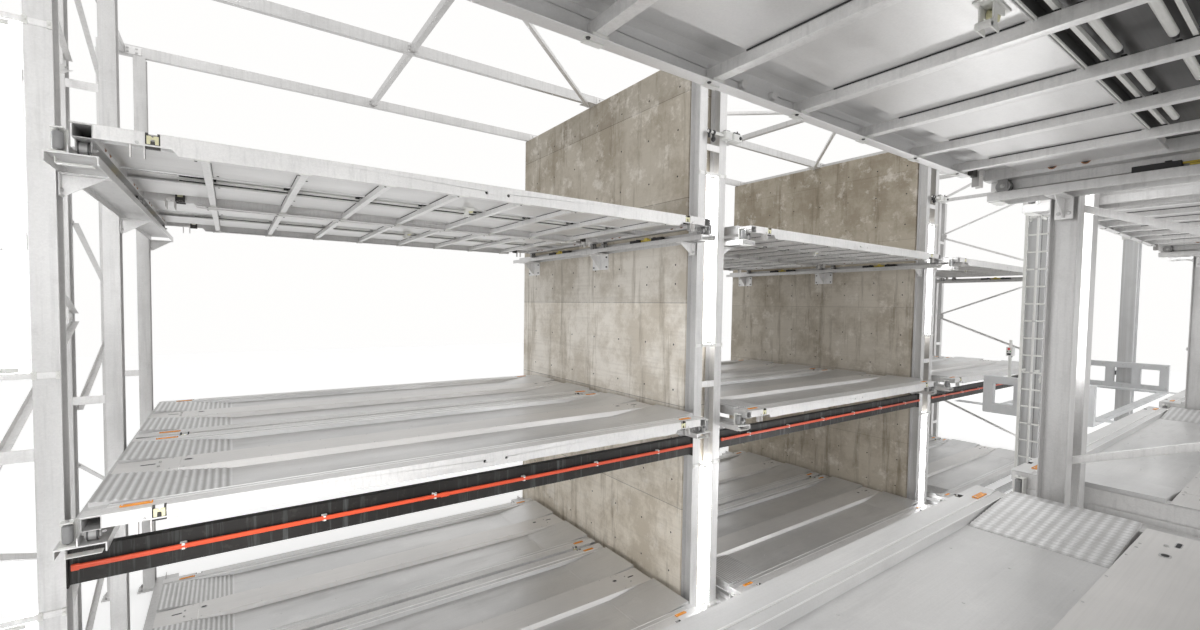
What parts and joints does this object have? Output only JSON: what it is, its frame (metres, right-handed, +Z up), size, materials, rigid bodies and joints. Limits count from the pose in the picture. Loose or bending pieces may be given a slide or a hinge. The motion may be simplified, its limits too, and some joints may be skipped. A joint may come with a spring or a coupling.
{
  "type": "automatic multi storey car park",
  "caption": "Automatic multi storey car park: a steel rack of car pallets on both sides of an aisle, with concrete fin walls and a crane with a rising carriage.",
  "frame": {"origin": "on the floor, at the middle of the rack's outline", "axes": "+X along the aisle towards the crane, +Y from the aisle into the deep row, +Z up"},
  "size_m": [20.3, 10.6, 7.34],
  "materials": {
    "galvanised_steel": "spangled zinc, satin",
    "light_steel": "bright zinc, satin",
    "deck_steel": "rolled zinc, satin",
    "concrete": "cast concrete, matte",
    "red_rail": "smooth",
    "white_clip": "matte",
    "latch_paint": "painted, worn",
    "orange_reflector": "glossy",
    "dark_steel": "dull",
    "lamp_white": "glowing",
    "crane_grey": "satin paint",
    "box_white": "satin paint"
  },
  "bodies": {
    "rack": {"base_plates": "galvanised_steel", "posts_a_front": "galvanised_steel", "posts_a_middle": "galvanised_steel", "posts_a_rear": "galvanised_steel", "posts_b_front": "galvanised_steel", "posts_b_rear": "galvanised_steel", "battens": "light_steel", "fin_wall_left": "concrete", "fin_wall_right": "concrete", "end_bracing_a": "light_steel", "frame_bracing_b": "light_steel", "front_beams": "dark_steel", "conductor_rail": "red_rail", "rail_clips": "white_clip", "pallet_rails_a": "galvanised_steel", "pallet_rails_b": "galvanised_steel", "roof_beams": "galvanised_steel", "roof_cross_beams": "galvanised_steel", "roof_bracing": "light_steel", "side_beams_a": "galvanised_steel", "side_beams_b": "galvanised_steel", "end_beams": "galvanised_steel", "cross_members_a": "light_steel", "cross_members_b": "light_steel", "decks_a": "deck_steel", "decks_b": "deck_steel", "hump_covers": "light_steel", "ribbed_plates": "deck_steel", "end_ramps": "deck_steel", "latch_blocks": "latch_paint", "reflectors": "orange_reflector", "pallet_rollers": "dark_steel", "tube_lamps": "lamp_white", "sensor_units": "box_white", "crane_rails": "dark_steel"},
    "crane": {"crane_base": "crane_grey", "base_ties": "crane_grey", "masts": "crane_grey", "mast_ladder": "light_steel", "head_boxes": "box_white", "hoist_ropes": "dark_steel"},
    "carriage": {"carriage_frames": "crane_grey", "carriage_platform": "crane_grey", "carriage_guides": "dark_steel", "control_post": "box_white"}
  },
  "joints": [
    {"name": "crane_travel", "type": "slide", "parent": "rack", "child": "crane", "axis": [1, 0, 0], "range_m": [-12.38, 0]},
    {"name": "carriage_lift", "type": "slide", "parent": "crane", "child": "carriage", "axis": [0, 0, 1], "range_m": [-2.158, 2.602]}
  ]
}
